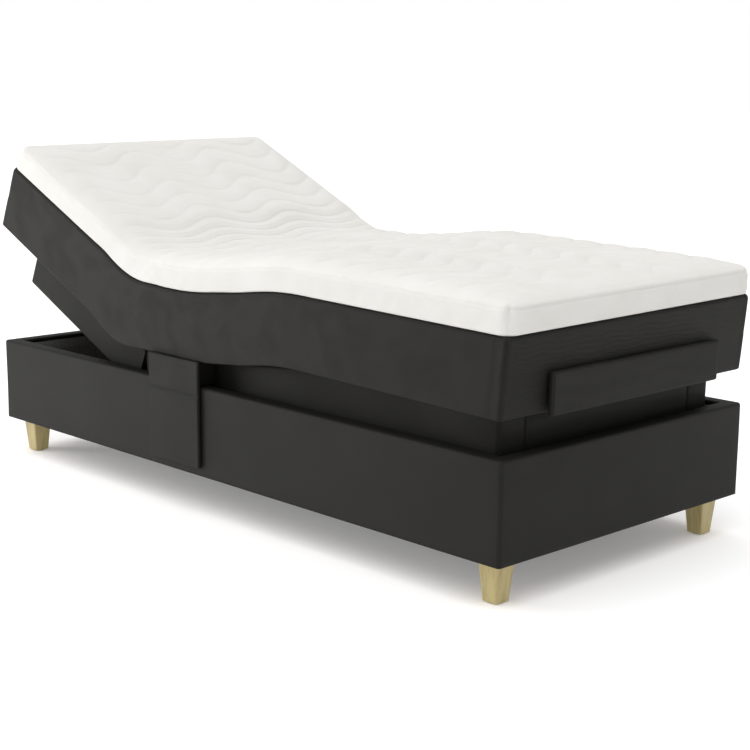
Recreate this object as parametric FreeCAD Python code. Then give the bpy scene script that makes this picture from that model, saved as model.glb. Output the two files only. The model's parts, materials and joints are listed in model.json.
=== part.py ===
import FreeCAD, Part
import math
import os

# Adjustable single bed: an upholstered plinth box on four legs holds a fixed seat frame.
# The back, thigh and leg frames hinge on it and nest inside the plinth when flat.
# Frame: X across the bed, Y along it (foot at -Y, head at +Y), Z up from the floor, in mm.

# Overall sizes
HALF_WIDTH = 450.0
FOOT_Y = -990.0
HEAD_Y = 1010.0
PLINTH_BOTTOM = 100.0
PLINTH_TOP = 339.0
FABRIC = 4.0
PLINTH_BOARD = 34.0
RIM = PLINTH_BOARD + 2.0 * FABRIC
DUST_COVER = 2.0
DUST_NOTCH = 75.0
CUT_PAST = 1.0

# Legs
LEG_INSET = 65.0
LEG_TOP = 60.0
LEG_FOOT = 42.0
LEG_BEVEL = 0.1
GLIDE_HEIGHT = 3.0
GLIDE_RADIUS = 17.0
STUD_RADIUS = 5.0
STUD_LOW = 60.0
STUD_HIGH = 150.0
BLOCK_SIZE = 60.0
BLOCK_TOP = 236.0

# Pivots, as flat-bed places along Y, all at one height
PIVOT_Z = 385.0
BACK_PIVOT_Y = 390.0
THIGH_PIVOT_Y = 30.0
KNEE_Y = -320.0

# Stored pose
BACK_REST = 24.5
THIGH_REST = 5.5
KNEE_REST = 6.9

# Section frames
FRAME_HALF = 390.0
FRAME_BOARD = 18.0
FRAME_BOTTOM = 272.0
DECK_TOP = 405.0
DECK = 5.0
DECK_BOTTOM = DECK_TOP - DECK
SKIN_IN = FRAME_HALF - FABRIC
BOARD_IN = SKIN_IN - FRAME_BOARD
BACK_FRAME_END = 956.0
LEG_FRAME_END = -930.0
BOARD_GAP = 22.0
NOSE = 18.0
DECK_GAP = 25.0
SEAT_GAP = 28.0
KNEE_TOP_GAP = 8.0
KNEE_LOW_GAP = 50.0

# Mattress and topper
MATTRESS_TOP = 593.0
TOPPER_TOP = 663.0
FOLD_GAP = 10.0
BACK_BEVEL = 20.5
THIGH_BEVEL = 15.5
KNEE_GAP = 6.0
SLIP_PER_RADIAN = 125.0
SLIP_CLEARANCE = 0.02

# Torsion tubes and their bearings
TUBE_RADIUS = 14.0
TUBE_BORE = 11.0
TUBE_HALF = 366.0
PLATE = 6.0
BEARING_BOSS = 19.5
BEARING_BEHIND = 21.0
BEARING_REACH = 63.0
BEARING_DROP = 42.0
BUSH_RADIUS = 17.0
BUSH_FLANGE = 19.0
BUSH_BORE = 14.06
BUSH_FLANGE_LENGTH = 3.0
ARM_X = 350.0
ARM_BOSS = 19.0
ARM_REACH = 120.0
ARM_DROP = 28.0
ARM_RISE = 12.0
CROSS_RAIL_LOW = 300.0

# Lift levers and the twin drive
LEVER_RADIUS = 80.0
LEVER_NOSE = 9.0
LEVER_X = 16.0
ELBOW_OUT = 45.0
ELBOW_DOWN = 60.0
BACK_NUT_PER_RADIAN = 68.0
THIGH_NUT_PER_RADIAN = 76.0
NUT_GAP = 0.5
NUT_HALF = 30.0
NUT_LENGTH = 30.0
NUT_LOW = 295.0
NUT_HIGH = 345.0
SPINDLE_Z = 320.0
SPINDLE_RADIUS = 7.0
RUNNING_FIT = 0.06
HOUSING_HALF = 80.0
HOUSING_OVERHANG = 110.0
HOUSING_LOW = 284.0
HOUSING_SPLIT = 346.0
HOUSING_TOP = 366.0
HOUSING_WALL = 4.0
SLOT_HALF = 32.0
SLOT_BEHIND = 5.0
SADDLE_X = (44.0, 72.0)
SADDLE_HALF = 22.0
SADDLE_BORE = 14.4
LOCK_TOP = 403.0
MOTOR_RADIUS = 28.0
MOTOR_X = 40.0
MOTOR_BACK = 65.0
MOTOR_FRONT = 55.0
MOTOR_CAP_RADIUS = 20.0
MOTOR_CAP = 15.0
WHEEL_RADIUS = 22.0
WHEEL_LENGTH = 14.0
WHEEL_GAP = 6.0

# Control box beside the drive, with a pocket for the mains inlet
CONTROL_WIDTH = 85.0
CONTROL_Y = (130.0, 290.0)
CONTROL_Z = (292.0, 350.0)
CONTROL_EDGE = 5.0
INLET_DEPTH = 15.0
INLET_Y = (250.0, 274.0)
INLET_Z = (310.0, 330.0)

# Leg links
LINK_PIVOT = (-202.1, 328.42)
LINK_EYE = (-480.0, 340.0)
LINK_X = 332.0
LINK_BAR = 8.0
LINK_WIDTH = 24.0
LINK_PIN = 6.0
LINK_EYE_CLEARANCE = 0.9
LINK_SIDE_GAP = 2.0
PIN_END = 3.0
PIN_HEAD = 9.6
POST_HALF = 16.0
LINK_BRACKET_HALF = 20.0
LINK_BRACKET_DROP = 16.0
LINK_BRACKET_RISE = 30.0

# Knee hinge leaves
LEAF_LENGTH = 75.0
LEAF_HALF = 14.0
LEAF_GAP = 0.5
LEAF_PAD = (30.0, 85.0)
LEAF_PAD_HALF = 12.0

# Foot-end retainer
RETAINER_HALF = 310.0
RETAINER_LOW = 401.0
RETAINER_HIGH = 500.0
RETAINER_THICK = 16.0
RETAINER_OUT = 1010.0
RETAINER_EDGE = 6.0
BRACKET = 4.0
BRACKET_X = (190.0, 220.0)
BRACKET_DROP = 9.0
BRACKET_BELOW_DECK = 0.5

# Side anchors of the seat frame
ANCHOR_Y = (46.0, 252.0)
ANCHOR_Z = (130.0, 400.0)
ANCHOR_BOARD = 8.0
SPACER_Y = (60.0, 205.0)
SPACER_Z = (341.0, 398.0)
BEAM_HALF_LENGTH = 30.0
BEAM_Z = (230.0, 270.0)

SEAT_Y = (THIGH_PIVOT_Y + SEAT_GAP, BACK_PIVOT_Y - SEAT_GAP)
RAIL_Y = (THIGH_PIVOT_Y + BOARD_GAP, BACK_PIVOT_Y - BOARD_GAP)
ALONG_X = FreeCAD.Vector(1, 0, 0)
ALONG_Y = FreeCAD.Vector(0, 1, 0)
SIDES = (-1.0, 1.0)


def box(x, y, z):
    """A block between pairs of limits, given in any order."""
    low = FreeCAD.Vector(min(x), min(y), min(z))
    return Part.makeBox(max(x) - min(x), max(y) - min(y), max(z) - min(z), low)


def rod(radius, x, y, z):
    """A round bar along X between two places."""
    start = FreeCAD.Vector(min(x), y, z)
    return Part.makeCylinder(radius, max(x) - min(x), start, ALONG_X)


def rod_along(radius, x, y, z):
    """A round bar along Y between two places."""
    start = FreeCAD.Vector(x, min(y), z)
    return Part.makeCylinder(radius, max(y) - min(y), start, ALONG_Y)


def post(radius, x, y, z):
    """A round bar that stands along Z."""
    return Part.makeCylinder(radius, max(z) - min(z), FreeCAD.Vector(x, y, min(z)))


def slab(points, x):
    """A side outline of (y, z) points, made solid between two X limits."""
    corners = [FreeCAD.Vector(min(x), y, z) for y, z in points]
    face = Part.Face(Part.makePolygon(corners + corners[:1]))
    return face.extrude(FreeCAD.Vector(max(x) - min(x), 0, 0))


def bar(start, end, radius, x):
    """A flat bar with round ends that joins two (y, z) points."""
    dy = end[0] - start[0]
    dz = end[1] - start[1]
    length = math.hypot(dy, dz)
    ny = -dz / length * radius
    nz = dy / length * radius
    outline = [
        (start[0] + ny, start[1] + nz),
        (end[0] + ny, end[1] + nz),
        (end[0] - ny, end[1] - nz),
        (start[0] - ny, start[1] - nz),
    ]
    ends = [rod(radius, x, start[0], start[1]), rod(radius, x, end[0], end[1])]
    return slab(outline, x).fuse(ends).removeSplitter()


def turned(shape, y, z, angle):
    """A copy turned about an X axis through (y, z); positive lifts the +Y side."""
    copy = shape.copy()
    copy.rotate(FreeCAD.Vector(0, y, z), ALONG_X, angle)
    return copy


def moved(shape, x, y, z):
    copy = shape.copy()
    copy.translate(FreeCAD.Vector(x, y, z))
    return copy


def both_sides(make):
    """The same piece made for the left and the right side."""
    return Part.makeCompound([make(side) for side in SIDES])


# Places of the moving sections in the stored pose


def back_pose(shape):
    return turned(shape, BACK_PIVOT_Y, PIVOT_Z, BACK_REST)


def slip_pose(shape):
    slip = SLIP_PER_RADIAN * math.radians(BACK_REST)
    return back_pose(moved(shape, 0, slip, 0))


def thigh_pose(shape):
    return turned(shape, THIGH_PIVOT_Y, PIVOT_Z, -THIGH_REST)


def leg_pose(shape):
    return thigh_pose(turned(shape, KNEE_Y, PIVOT_Z, KNEE_REST))


# Plinth


def plinth_side(side):
    x = (side * (HALF_WIDTH - FABRIC), side * (HALF_WIDTH - FABRIC - PLINTH_BOARD))
    return box(x, (FOOT_Y + FABRIC, HEAD_Y - FABRIC), (PLINTH_BOTTOM + DUST_COVER, PLINTH_TOP - FABRIC))


def plinth_end(outer_y, inward):
    inner = HALF_WIDTH - FABRIC - PLINTH_BOARD
    y = (outer_y + inward * FABRIC, outer_y + inward * (FABRIC + PLINTH_BOARD))
    return box((-inner, inner), y, (PLINTH_BOTTOM + DUST_COVER, PLINTH_TOP - FABRIC))


def plinth_cover():
    full = (PLINTH_BOTTOM - CUT_PAST, PLINTH_TOP + CUT_PAST)
    outer = box((-HALF_WIDTH, HALF_WIDTH), (FOOT_Y, HEAD_Y), (PLINTH_BOTTOM, PLINTH_TOP))
    well_x = HALF_WIDTH - RIM
    well = box((-well_x, well_x), (FOOT_Y + RIM, HEAD_Y - RIM), full)
    wide = HALF_WIDTH - FABRIC
    boards = box((-wide, wide), (FOOT_Y + FABRIC, HEAD_Y - FABRIC), (full[0], PLINTH_TOP - FABRIC))
    narrow = wide - PLINTH_BOARD
    inside = (FOOT_Y + FABRIC + PLINTH_BOARD, HEAD_Y - FABRIC - PLINTH_BOARD)
    boards = boards.cut(box((-narrow, narrow), inside, full))
    corners = [edge for edge in outer.Edges if is_upright(edge)]
    return outer.makeFillet(2.0 * FABRIC, corners).cut(well).cut(boards)


def is_upright(edge):
    first = edge.Vertexes[0].Point
    last = edge.Vertexes[-1].Point
    return abs(first.x - last.x) < 1.0 and abs(first.y - last.y) < 1.0


def leg_places():
    y_foot = FOOT_Y + LEG_INSET
    y_head = HEAD_Y - LEG_INSET
    x = HALF_WIDTH - LEG_INSET
    return {
        "leg_foot_left": (-x, y_foot),
        "leg_foot_right": (x, y_foot),
        "leg_head_left": (-x, y_head),
        "leg_head_right": (x, y_head),
    }


def leg_outline(x, y, size, z):
    """A square with its corners cut off by a small bevel."""
    half = size / 2.0
    cut = half * (1.0 - LEG_BEVEL)
    corners = [(-cut, -half), (cut, -half), (half, -cut), (half, cut)]
    corners += [(-dx, -dy) for dx, dy in corners]
    return [FreeCAD.Vector(x + dx, y + dy, z) for dx, dy in corners]


def flat_face(points):
    return Part.Face(Part.makePolygon(points + points[:1]))


def tapered_leg(x, y):
    low = leg_outline(x, y, LEG_FOOT, GLIDE_HEIGHT)
    high = leg_outline(x, y, LEG_TOP, PLINTH_BOTTOM)
    faces = [flat_face(low), flat_face(high)]
    for i in range(len(low)):
        j = (i + 1) % len(low)
        faces.append(flat_face([low[i], low[j], high[j], high[i]]))
    leg = Part.makeSolid(Part.makeShell(faces))
    return leg.cut(post(STUD_RADIUS, x, y, (STUD_LOW, PLINTH_BOTTOM + CUT_PAST)))


def corner_block(x, y):
    x_out = math.copysign(HALF_WIDTH - RIM, x)
    x_in = x_out - math.copysign(BLOCK_SIZE, x)
    y_wall = HEAD_Y - RIM if y > 0 else FOOT_Y + RIM
    y_in = y_wall - math.copysign(BLOCK_SIZE, y)
    block = box((x_in, x_out), (y_in, y_wall), (PLINTH_BOTTOM + DUST_COVER, BLOCK_TOP))
    return block.cut(post(STUD_RADIUS, x, y, (PLINTH_BOTTOM, STUD_HIGH)))


def dust_cover():
    """The cloth under the plinth, cut away at the four corner blocks."""
    x = HALF_WIDTH - RIM - 1.0
    y = (FOOT_Y + RIM + 1.0, HEAD_Y - RIM - 1.0)
    z = (PLINTH_BOTTOM, PLINTH_BOTTOM + DUST_COVER)
    wide = box((-x, x), (y[0] + DUST_NOTCH, y[1] - DUST_NOTCH), z)
    narrow = box((DUST_NOTCH - x, x - DUST_NOTCH), y, z)
    return wide.fuse(narrow).removeSplitter()


# Fixed seat frame


def support_beams():
    x = HALF_WIDTH - RIM
    places = (LINK_PIVOT[0], THIGH_PIVOT_Y + 2.0 * BEAM_HALF_LENGTH, BACK_PIVOT_Y - 2.0 * BEAM_HALF_LENGTH)
    beams = [box((-x, x), (y - BEAM_HALF_LENGTH, y + BEAM_HALF_LENGTH), BEAM_Z) for y in places]
    return Part.makeCompound(beams)


def seat_rail(side):
    return box((side * BOARD_IN, side * SKIN_IN), RAIL_Y, (BEAM_Z[1], DECK_BOTTOM))


def seat_spacer(side):
    return box((side * SKIN_IN, side * HALF_WIDTH), SPACER_Y, SPACER_Z)


def anchor_panel(side):
    return box((side * HALF_WIDTH, side * (HALF_WIDTH + ANCHOR_BOARD)), ANCHOR_Y, ANCHOR_Z)


def anchor_cover(side):
    y = (ANCHOR_Y[0] - FABRIC, ANCHOR_Y[1] + FABRIC)
    z = (ANCHOR_Z[0] - FABRIC, ANCHOR_Z[1] + FABRIC)
    outer = box((side * HALF_WIDTH, side * (HALF_WIDTH + ANCHOR_BOARD + FABRIC)), y, z)
    return outer.cut(anchor_panel(side))


def bearing_plate(side, pivot_y, inward):
    """A plate on the seat rail; its round boss rings the bush above the plate's top edge."""
    x = (side * (BOARD_IN - PLATE), side * BOARD_IN)
    y = (pivot_y - inward * BEARING_BEHIND, pivot_y + inward * BEARING_REACH)
    plate = box(x, y, (PIVOT_Z - BEARING_DROP, DECK_BOTTOM)).fuse(rod(BEARING_BOSS, x, pivot_y, PIVOT_Z))
    return plate.cut(rod(BUSH_RADIUS, x, pivot_y, PIVOT_Z)).removeSplitter()


def bearing_plates():
    plates = [bearing_plate(side, BACK_PIVOT_Y, -1.0) for side in SIDES]
    plates += [bearing_plate(side, THIGH_PIVOT_Y, 1.0) for side in SIDES]
    return Part.makeCompound(plates)


def tube_bush(side, pivot_y):
    inner = BOARD_IN - PLATE
    body = rod(BUSH_RADIUS, (side * inner, side * BOARD_IN), pivot_y, PIVOT_Z)
    mouth = inner - BUSH_FLANGE_LENGTH
    flange = rod(BUSH_FLANGE, (side * mouth, side * inner), pivot_y, PIVOT_Z)
    bore = rod(BUSH_BORE, (side * (mouth - CUT_PAST), side * (BOARD_IN + CUT_PAST)), pivot_y, PIVOT_Z)
    return body.fuse(flange).cut(bore)


def tube_bushes():
    pivots = (BACK_PIVOT_Y, THIGH_PIVOT_Y)
    return Part.makeCompound([tube_bush(side, y) for side in SIDES for y in pivots])


def seat_deck():
    return box((-SKIN_IN, SKIN_IN), SEAT_Y, (DECK_BOTTOM, DECK_TOP))


# Twin drive between the two tubes


def housing_ends():
    return (THIGH_PIVOT_Y - HOUSING_OVERHANG, BACK_PIVOT_Y + HOUSING_OVERHANG)


def drive_housing_lower():
    ends = housing_ends()
    tray = box((-HOUSING_HALF, HOUSING_HALF), ends, (HOUSING_LOW, HOUSING_SPLIT))
    inner_x = HOUSING_HALF - HOUSING_WALL
    inner_y = (ends[0] + HOUSING_WALL, ends[1] - HOUSING_WALL)
    inner_z = (HOUSING_LOW + HOUSING_WALL, HOUSING_SPLIT + CUT_PAST)
    return tray.cut(box((-inner_x, inner_x), inner_y, inner_z))


def lever_slot(pivot_y, outward):
    behind = LEVER_NOSE + SLOT_BEHIND
    ahead = HOUSING_OVERHANG - HOUSING_WALL
    y = (pivot_y - outward * behind, pivot_y + outward * ahead)
    return box((-SLOT_HALF, SLOT_HALF), y, (HOUSING_SPLIT - CUT_PAST, HOUSING_TOP + CUT_PAST))


def tube_clamp(side, pivot_y, z):
    """Half of the block that holds the drive on a tube, below or above the tube's centre."""
    x = (side * SADDLE_X[0], side * SADDLE_X[1])
    half = box(x, (pivot_y - SADDLE_HALF, pivot_y + SADDLE_HALF), z)
    return half.cut(rod(SADDLE_BORE, x, pivot_y, PIVOT_Z))


def drive_housing_upper():
    lid = box((-HOUSING_HALF, HOUSING_HALF), housing_ends(), (HOUSING_SPLIT, HOUSING_TOP))
    lid = lid.cut(lever_slot(BACK_PIVOT_Y, 1.0)).cut(lever_slot(THIGH_PIVOT_Y, -1.0))
    return lid.fuse(tube_clamps((HOUSING_TOP, PIVOT_Z))).removeSplitter()


def tube_clamps(z):
    pivots = (BACK_PIVOT_Y, THIGH_PIVOT_Y)
    return [tube_clamp(side, y, z) for side in SIDES for y in pivots]


def drive_motors():
    middle = (BACK_PIVOT_Y + THIGH_PIVOT_Y) / 2.0
    z = HOUSING_LOW - MOTOR_RADIUS
    motors = []
    for side in SIDES:
        front = middle + MOTOR_FRONT
        can = rod_along(MOTOR_RADIUS, side * MOTOR_X, (middle - MOTOR_BACK, front), z)
        cap = rod_along(MOTOR_CAP_RADIUS, side * MOTOR_X, (front, front + MOTOR_CAP), z)
        motors.append(can.fuse(cap).removeSplitter())
    return Part.makeCompound(motors)


def control_box():
    outer = HOUSING_HALF + CONTROL_WIDTH
    case = box((HOUSING_HALF, outer), CONTROL_Y, CONTROL_Z)
    case = case.makeFillet(CONTROL_EDGE, [edge for edge in case.Edges if is_upright(edge)])
    return case.cut(box((outer - INLET_DEPTH, outer + CUT_PAST), INLET_Y, INLET_Z))


def spindle(start_y, end_y):
    turn = 1.0 if end_y > start_y else -1.0
    screw = rod_along(SPINDLE_RADIUS, 0, (start_y, end_y), SPINDLE_Z)
    worm_wheel = rod_along(WHEEL_RADIUS, 0, (start_y, start_y + turn * WHEEL_LENGTH), SPINDLE_Z)
    return screw.fuse(worm_wheel).removeSplitter()


def drive_nut(face_y, back_y):
    block = box((-NUT_HALF, NUT_HALF), (face_y, back_y), (NUT_LOW, NUT_HIGH))
    return block.cut(rod_along(SPINDLE_RADIUS + RUNNING_FIT, 0, (face_y, back_y), SPINDLE_Z))


def back_nut():
    travel = BACK_NUT_PER_RADIAN * math.radians(BACK_REST)
    face = BACK_PIVOT_Y - LEVER_NOSE - NUT_GAP + travel
    return drive_nut(face, face - NUT_LENGTH)


def thigh_nut():
    travel = THIGH_NUT_PER_RADIAN * math.radians(THIGH_REST)
    face = THIGH_PIVOT_Y + LEVER_NOSE + NUT_GAP - travel
    return drive_nut(face, face + NUT_LENGTH)


# Section frames, all made flat


def section_tube(pivot_y):
    x = (-TUBE_HALF, TUBE_HALF)
    return rod(TUBE_RADIUS, x, pivot_y, PIVOT_Z).cut(rod(TUBE_BORE, x, pivot_y, PIVOT_Z))


def lift_arm(side, pivot_y, outward):
    """A flat arm from the tube to the section's cross rail."""
    x = (side * ARM_X, side * (ARM_X + PLATE))
    boss = rod(ARM_BOSS, x, pivot_y, PIVOT_Z)
    reach = box(x, (pivot_y, pivot_y + outward * ARM_REACH), (PIVOT_Z - ARM_DROP, PIVOT_Z + ARM_RISE))
    return boss.fuse(reach).cut(rod(TUBE_RADIUS, x, pivot_y, PIVOT_Z)).removeSplitter()


def lever_plate(side, pivot_y, outward):
    """One hooked plate of the fork that the drive nut pushes."""
    x = (side * LEVER_X, side * (LEVER_X + PLATE))
    elbow = (pivot_y + outward * ELBOW_OUT, PIVOT_Z - ELBOW_DOWN)
    upper = bar((pivot_y, PIVOT_Z), elbow, LEVER_NOSE, x)
    hook = bar(elbow, (pivot_y, PIVOT_Z - LEVER_RADIUS), LEVER_NOSE, x)
    boss = rod(ARM_BOSS, x, pivot_y, PIVOT_Z)
    return upper.fuse([hook, boss]).cut(rod(TUBE_RADIUS, x, pivot_y, PIVOT_Z)).removeSplitter()


def lift_arms(pivot_y, outward):
    arms = [lift_arm(side, pivot_y, outward) for side in SIDES]
    forks = [lever_plate(side, pivot_y, outward) for side in SIDES]
    return Part.makeCompound(arms + forks)


def side_board(side, start_y, end_y):
    low = FRAME_BOTTOM + FABRIC
    return box((side * BOARD_IN, side * SKIN_IN), (start_y, end_y), (low, DECK_BOTTOM))


def cross_board(start_y, end_y, low):
    return box((-BOARD_IN, BOARD_IN), (start_y, end_y), (low, DECK_BOTTOM))


def section_deck(start_y, end_y):
    return box((-SKIN_IN, SKIN_IN), (start_y, end_y), (DECK_BOTTOM, DECK_TOP))


def section_cover(open_y, end_y, end_cloth, end_board):
    """Fabric on a frame's side boards; the end may carry cloth and a board of its own."""
    inward = math.copysign(1.0, open_y - end_y)
    core_y = (open_y, end_y + inward * end_cloth)
    well_y = (open_y, end_y + inward * (end_cloth + end_board))
    outer = box((-FRAME_HALF, FRAME_HALF), (open_y, end_y), (FRAME_BOTTOM, DECK_BOTTOM))
    core = box((-SKIN_IN, SKIN_IN), core_y, (FRAME_BOTTOM + FABRIC, DECK_BOTTOM))
    well = box((-BOARD_IN, BOARD_IN), well_y, (FRAME_BOTTOM, DECK_BOTTOM))
    return outer.cut(core).cut(well)


def nose(pivot_y, outward, x, low):
    """A side board's round-topped end at its pivot, clear of the seat rail as it turns."""
    tip = pivot_y - outward * NOSE
    round_top = rod(NOSE, x, pivot_y, PIVOT_Z)
    over_deck = box(x, (pivot_y - NOSE, pivot_y + NOSE), (DECK_BOTTOM, DECK_TOP))
    return round_top.cut(over_deck).fuse(box(x, (tip, pivot_y), (low, PIVOT_Z)))


def nosed_board(side, pivot_y, end_y):
    outward = math.copysign(1.0, end_y - pivot_y)
    tip = nose(pivot_y, outward, (side * BOARD_IN, side * SKIN_IN), FRAME_BOTTOM + FABRIC)
    return side_board(side, pivot_y, end_y).fuse(tip).removeSplitter()


def nosed_cover(cover, pivot_y, outward, boards):
    """A section's cover, carried round the noses of its side boards."""
    tips = [nose(pivot_y, outward, (side * BOARD_IN, side * FRAME_HALF), FRAME_BOTTOM) for side in SIDES]
    return cover.fuse(tips).cut(boards).removeSplitter()


def back_side_boards():
    return [nosed_board(side, BACK_PIVOT_Y, BACK_FRAME_END - FABRIC) for side in SIDES]


def thigh_side_boards():
    return [nosed_board(side, THIGH_PIVOT_Y, KNEE_Y).cut(knee_wedge()) for side in SIDES]


def back_cover():
    cover = section_cover(BACK_PIVOT_Y, BACK_FRAME_END, FABRIC, FRAME_BOARD)
    return nosed_cover(cover, BACK_PIVOT_Y, 1.0, back_side_boards())


def thigh_cover():
    cover = section_cover(THIGH_PIVOT_Y, KNEE_Y, 0, 0).cut(knee_wedge())
    return nosed_cover(cover, THIGH_PIVOT_Y, -1.0, thigh_side_boards())


def knee_wedge():
    """The space under the knee that the two frames close into."""
    x = (-HALF_WIDTH, HALF_WIDTH)
    top = DECK_BOTTOM + CUT_PAST
    corner = PIVOT_Z - KNEE_TOP_GAP
    low = FRAME_BOTTOM - CUT_PAST
    outline = [
        (KNEE_Y - KNEE_TOP_GAP, top),
        (KNEE_Y + KNEE_TOP_GAP, top),
        (KNEE_Y + KNEE_TOP_GAP, corner),
        (KNEE_Y + KNEE_LOW_GAP, low),
        (KNEE_Y - KNEE_LOW_GAP, low),
        (KNEE_Y - KNEE_TOP_GAP, corner),
    ]
    return slab(outline, x)


def back_frame_boards():
    end = BACK_FRAME_END - FABRIC
    head = cross_board(end - FRAME_BOARD, end, FRAME_BOTTOM + FABRIC)
    return Part.makeCompound(back_side_boards() + [head])


def back_cross_rail():
    start = BACK_PIVOT_Y + ARM_REACH
    return cross_board(start, start + FRAME_BOARD, CROSS_RAIL_LOW)


def thigh_frame_boards():
    start = THIGH_PIVOT_Y - ARM_REACH
    rail = cross_board(start - FRAME_BOARD, start, CROSS_RAIL_LOW)
    return Part.makeCompound(thigh_side_boards() + [rail])


def leg_frame_boards():
    end = LEG_FRAME_END + FABRIC
    sides = [side_board(side, end, KNEE_Y).cut(knee_wedge()) for side in SIDES]
    foot = cross_board(end, end + FRAME_BOARD, FRAME_BOTTOM + FABRIC)
    return Part.makeCompound(sides + [foot])


def wedge_block(low_y, high_y, low_slope, high_slope, z):
    """A mattress piece whose two ends lean by the given degrees, from the deck up."""
    def end_at(y, slope, height):
        return y + math.tan(math.radians(slope)) * (height - DECK_TOP)
    outline = [
        (end_at(low_y, low_slope, z[0]), z[0]),
        (end_at(high_y, high_slope, z[0]), z[0]),
        (end_at(high_y, high_slope, z[1]), z[1]),
        (end_at(low_y, low_slope, z[1]), z[1]),
    ]
    return slab(outline, (-HALF_WIDTH, HALF_WIDTH))


def soft_pieces():
    """Mattress and topper pieces, by the section that carries them."""
    slip_up = FreeCAD.Vector(0, 0, SLIP_CLEARANCE)
    layers = {"mattress": (DECK_TOP, MATTRESS_TOP), "topper": (MATTRESS_TOP, TOPPER_TOP)}
    pieces = {}
    for name, z in layers.items():
        back_low = BACK_PIVOT_Y + FOLD_GAP
        seat = (THIGH_PIVOT_Y + FOLD_GAP, BACK_PIVOT_Y - FOLD_GAP)
        thigh = (KNEE_Y + KNEE_GAP, THIGH_PIVOT_Y - FOLD_GAP)
        leg = (FOOT_Y, KNEE_Y - KNEE_GAP)
        back = wedge_block(back_low, HEAD_Y, BACK_BEVEL, 0, z).translated(slip_up)
        pieces[name + "_back"] = slip_pose(back)
        pieces[name + "_seat"] = wedge_block(seat[0], seat[1], THIGH_BEVEL, -BACK_BEVEL, z)
        pieces[name + "_thigh"] = thigh_pose(wedge_block(thigh[0], thigh[1], 0, -THIGH_BEVEL, z))
        pieces[name + "_leg"] = leg_pose(wedge_block(leg[0], leg[1], 0, 0, z))
    return pieces


# Knee hinges, leg links and the foot-end retainer


def thigh_leaf(side):
    x = (side * (BOARD_IN - PLATE), side * BOARD_IN)
    leaf = bar((KNEE_Y, PIVOT_Z), (KNEE_Y + LEAF_LENGTH, PIVOT_Z), LEAF_HALF, x)
    return leaf.cut(rod(LINK_PIN + RUNNING_FIT, x, KNEE_Y, PIVOT_Z))


def leg_leaf(side):
    inner = BOARD_IN - 2.0 * PLATE - LEAF_GAP
    x = (side * inner, side * (inner + PLATE))
    leaf = bar((KNEE_Y, PIVOT_Z), (KNEE_Y - LEAF_LENGTH, PIVOT_Z), LEAF_HALF, x)
    pad_x = (side * (inner + PLATE), side * BOARD_IN)
    pad_y = (KNEE_Y - LEAF_PAD[0], KNEE_Y - LEAF_PAD[1])
    pad = box(pad_x, pad_y, (PIVOT_Z - LEAF_PAD_HALF, PIVOT_Z + LEAF_PAD_HALF))
    return leaf.fuse(pad).cut(rod(LINK_PIN, x, KNEE_Y, PIVOT_Z)).removeSplitter()


def knee_pin(side):
    inner = BOARD_IN - 2.0 * PLATE - LEAF_GAP
    shank = rod(LINK_PIN, (side * inner, side * (BOARD_IN - LEAF_GAP)), KNEE_Y, PIVOT_Z)
    head = rod(PIN_HEAD, (side * (inner - PIN_END), side * inner), KNEE_Y, PIVOT_Z)
    return shank.fuse(head).removeSplitter()


def eye_at_rest():
    """Where the leg frame's link eye lies in the stored pose."""
    mark = Part.Vertex(0, LINK_EYE[0], LINK_EYE[1])
    point = leg_pose(mark).Point
    return (point.y, point.z)


def link_post(side):
    inner = LINK_X + LINK_BAR + LINK_SIDE_GAP
    x = (side * inner, side * (inner + PLATE))
    y = (LINK_PIVOT[0] - POST_HALF, LINK_PIVOT[0] + POST_HALF)
    top = rod(POST_HALF, x, LINK_PIVOT[0], LINK_PIVOT[1])
    pin = rod(LINK_PIN, (side * (LINK_X - PIN_END), x[0]), LINK_PIVOT[0], LINK_PIVOT[1])
    return box(x, y, (BEAM_Z[1], LINK_PIVOT[1])).fuse([top, pin]).removeSplitter()


def leg_link(side):
    x = (side * LINK_X, side * (LINK_X + LINK_BAR))
    eye = eye_at_rest()
    link = bar(LINK_PIVOT, eye, LINK_WIDTH / 2.0, x)
    link = link.cut(rod(LINK_PIN + RUNNING_FIT, x, LINK_PIVOT[0], LINK_PIVOT[1]))
    return link.cut(rod(LINK_PIN + LINK_EYE_CLEARANCE, x, eye[0], eye[1]))


def link_bracket(side):
    x = (side * (LINK_X + LINK_BAR + LINK_SIDE_GAP), side * BOARD_IN)
    y = (LINK_EYE[0] - LINK_BRACKET_HALF, LINK_EYE[0] + LINK_BRACKET_HALF)
    block = box(x, y, (LINK_EYE[1] - LINK_BRACKET_DROP, LINK_EYE[1] + LINK_BRACKET_RISE))
    pin = rod(LINK_PIN, (side * (LINK_X - PIN_END), x[0]), LINK_EYE[0], LINK_EYE[1])
    return block.fuse(pin).removeSplitter()


def retainer_bracket(side):
    """A bent strap from the leg frame's foot board, under the mattress, to the pad."""
    x = (side * BRACKET_X[0], side * BRACKET_X[1])
    face = -RETAINER_OUT + RETAINER_THICK
    top = DECK_TOP - BRACKET_BELOW_DECK
    strap = box(x, (LEG_FRAME_END, face), (top - BRACKET, top))
    flange = box(x, (LEG_FRAME_END, LEG_FRAME_END - BRACKET), (DECK_BOTTOM - BRACKET_DROP, top))
    return strap.fuse(flange).removeSplitter()


def retainer_pad():
    y = (-RETAINER_OUT, -RETAINER_OUT + RETAINER_THICK)
    pad = box((-RETAINER_HALF, RETAINER_HALF), y, (RETAINER_LOW, RETAINER_HIGH))
    short_edges = [edge for edge in pad.Edges if edge.BoundBox.YLength > 1.0]
    return pad.makeFillet(RETAINER_EDGE, short_edges)


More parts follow.
